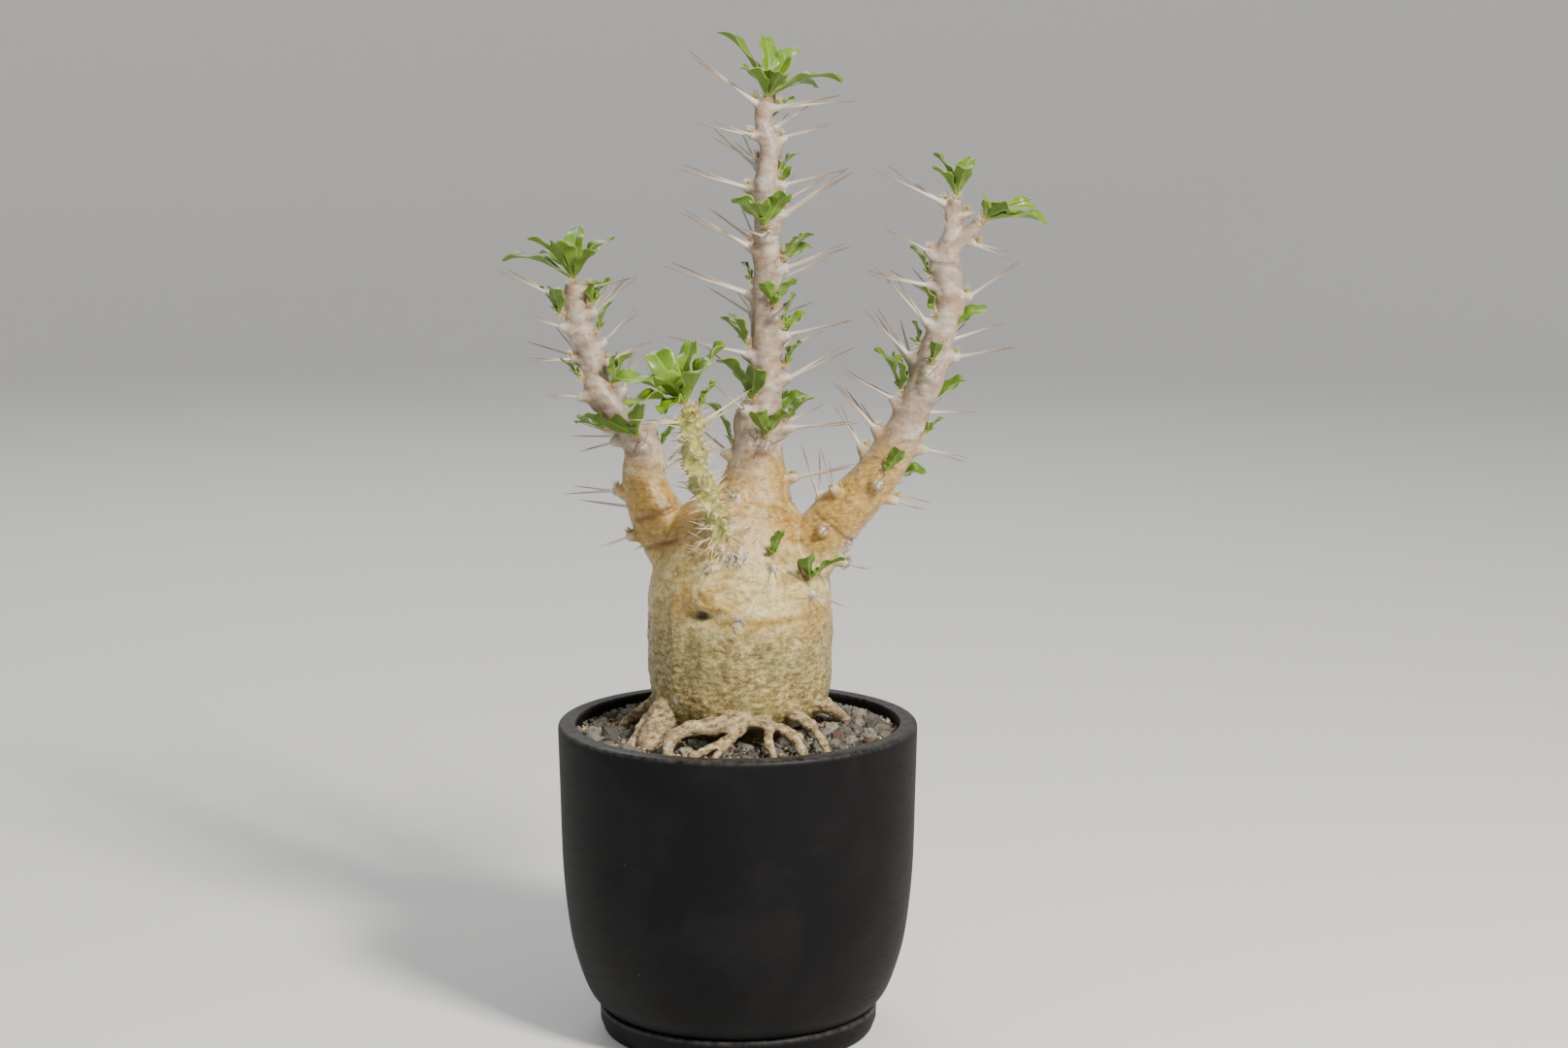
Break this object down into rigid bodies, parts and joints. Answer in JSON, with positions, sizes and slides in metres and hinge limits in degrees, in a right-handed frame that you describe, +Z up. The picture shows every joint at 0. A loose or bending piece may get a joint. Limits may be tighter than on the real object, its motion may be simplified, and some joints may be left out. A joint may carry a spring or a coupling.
{
  "type": "potted succulent plant",
  "caption": "Bottle-shaped caudex with thick upright thorny stems that end in tufts of waved leaves, in a round lipped pot with a grit-dressed soil top, on a low round saucer.",
  "frame": {"origin": "on the table under the pot's axis, at the middle of the saucer's flat underside", "axes": "+Z up along the pot's axis; -Y is the side that faces the viewer, with its raised roots and its young shoot, and +X is to that viewer's right, where the longest side stem leans"},
  "size_m": [0.2208, 0.15, 0.4141],
  "materials": {
    "pot_black": "matt deep black",
    "saucer_black": "matt deep black",
    "soil_grit": "dry grey-brown pumice and lava grains",
    "bark": "smooth to warty bark, cream, tan and olive below and silvery pinkish beige above",
    "leaf_green": "glossy bright yellow-green leaf"
  },
  "bodies": {
    "root": {"leaves_caudex_01": "leaf_green", "leaves_caudex_02": "leaf_green", "leaves_caudex_03": "leaf_green", "leaves_centre_01": "leaf_green", "leaves_centre_02": "leaf_green", "leaves_centre_03": "leaf_green", "leaves_centre_04": "leaf_green", "leaves_centre_05": "leaf_green", "leaves_centre_06": "leaf_green", "leaves_centre_07": "leaf_green", "leaves_centre_08": "leaf_green", "leaves_centre_09": "leaf_green", "leaves_centre_10": "leaf_green", "leaves_centre_11": "leaf_green", "leaves_centre_12": "leaf_green", "leaves_centre_13": "leaf_green", "leaves_centre_14": "leaf_green", "leaves_centre_15": "leaf_green", "leaves_centre_16": "leaf_green", "leaves_centre_17": "leaf_green", "leaves_centre_top": "leaf_green", "leaves_left_01": "leaf_green", "leaves_left_02": "leaf_green", "leaves_left_03": "leaf_green", "leaves_left_04": "leaf_green", "leaves_left_05": "leaf_green", "leaves_left_06": "leaf_green", "leaves_left_07": "leaf_green", "leaves_left_08": "leaf_green", "leaves_left_09": "leaf_green", "leaves_left_10": "leaf_green", "leaves_left_11": "leaf_green", "leaves_left_top": "leaf_green", "leaves_right_01": "leaf_green", "leaves_right_02": "leaf_green", "leaves_right_03": "leaf_green", "leaves_right_04": "leaf_green", "leaves_right_05": "leaf_green", "leaves_right_06": "leaf_green", "leaves_right_07": "leaf_green", "leaves_right_08": "leaf_green", "leaves_right_09": "leaf_green", "leaves_right_10": "leaf_green", "leaves_right_top": "leaf_green", "leaves_side_top": "leaf_green", "leaves_young_01": "leaf_green", "leaves_young_top": "leaf_green", "pot": "pot_black", "saucer": "saucer_black", "soil": "soil_grit", "woody_body": "bark"}
  },
  "joints": []
}
